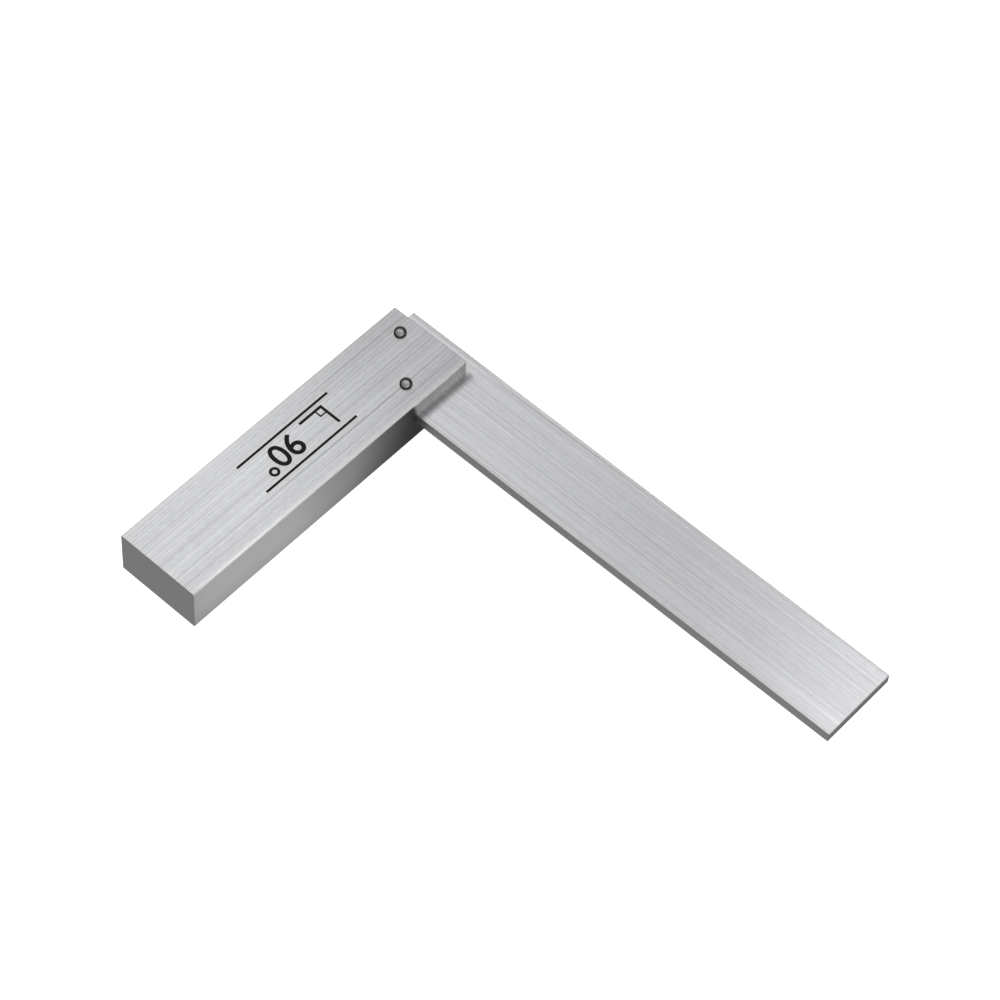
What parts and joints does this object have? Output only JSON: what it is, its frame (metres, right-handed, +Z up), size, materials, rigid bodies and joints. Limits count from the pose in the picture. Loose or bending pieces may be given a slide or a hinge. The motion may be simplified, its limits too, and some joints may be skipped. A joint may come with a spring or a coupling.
{
  "type": "steel square",
  "caption": "Wide-base steel square: a thin ground blade set at right angles into the slotted end of a thick rectangular stock and held by round-headed rivets, lying on its side.",
  "frame": {"origin": "sharp inner working corner at the resting plane: where the planes of the fence face, the blade's inner edge and the underside meet", "axes": "+X along the blade to its tip, +Y across the blade from its inner to its outer edge (the stock runs along -Y), +Z up, the thickness of the stock"},
  "size_m": [0.125, 0.0799, 0.0121],
  "materials": {
    "stock_steel": "surface-ground steel with fine lengthwise grinding lines and small bright edge breaks",
    "blade_steel": "surface-ground steel, slightly brighter, grinding lines along the blade",
    "rivet_steel": "blackened rivet steel with the crown of the head worn bright",
    "etched_black": "matt black etched mark on the top face of the stock"
  },
  "bodies": {
    "root": {"stock": "stock_steel", "blade": "blade_steel", "heel_rivet": "rivet_steel", "fence_rivet": "rivet_steel"}
  },
  "joints": []
}
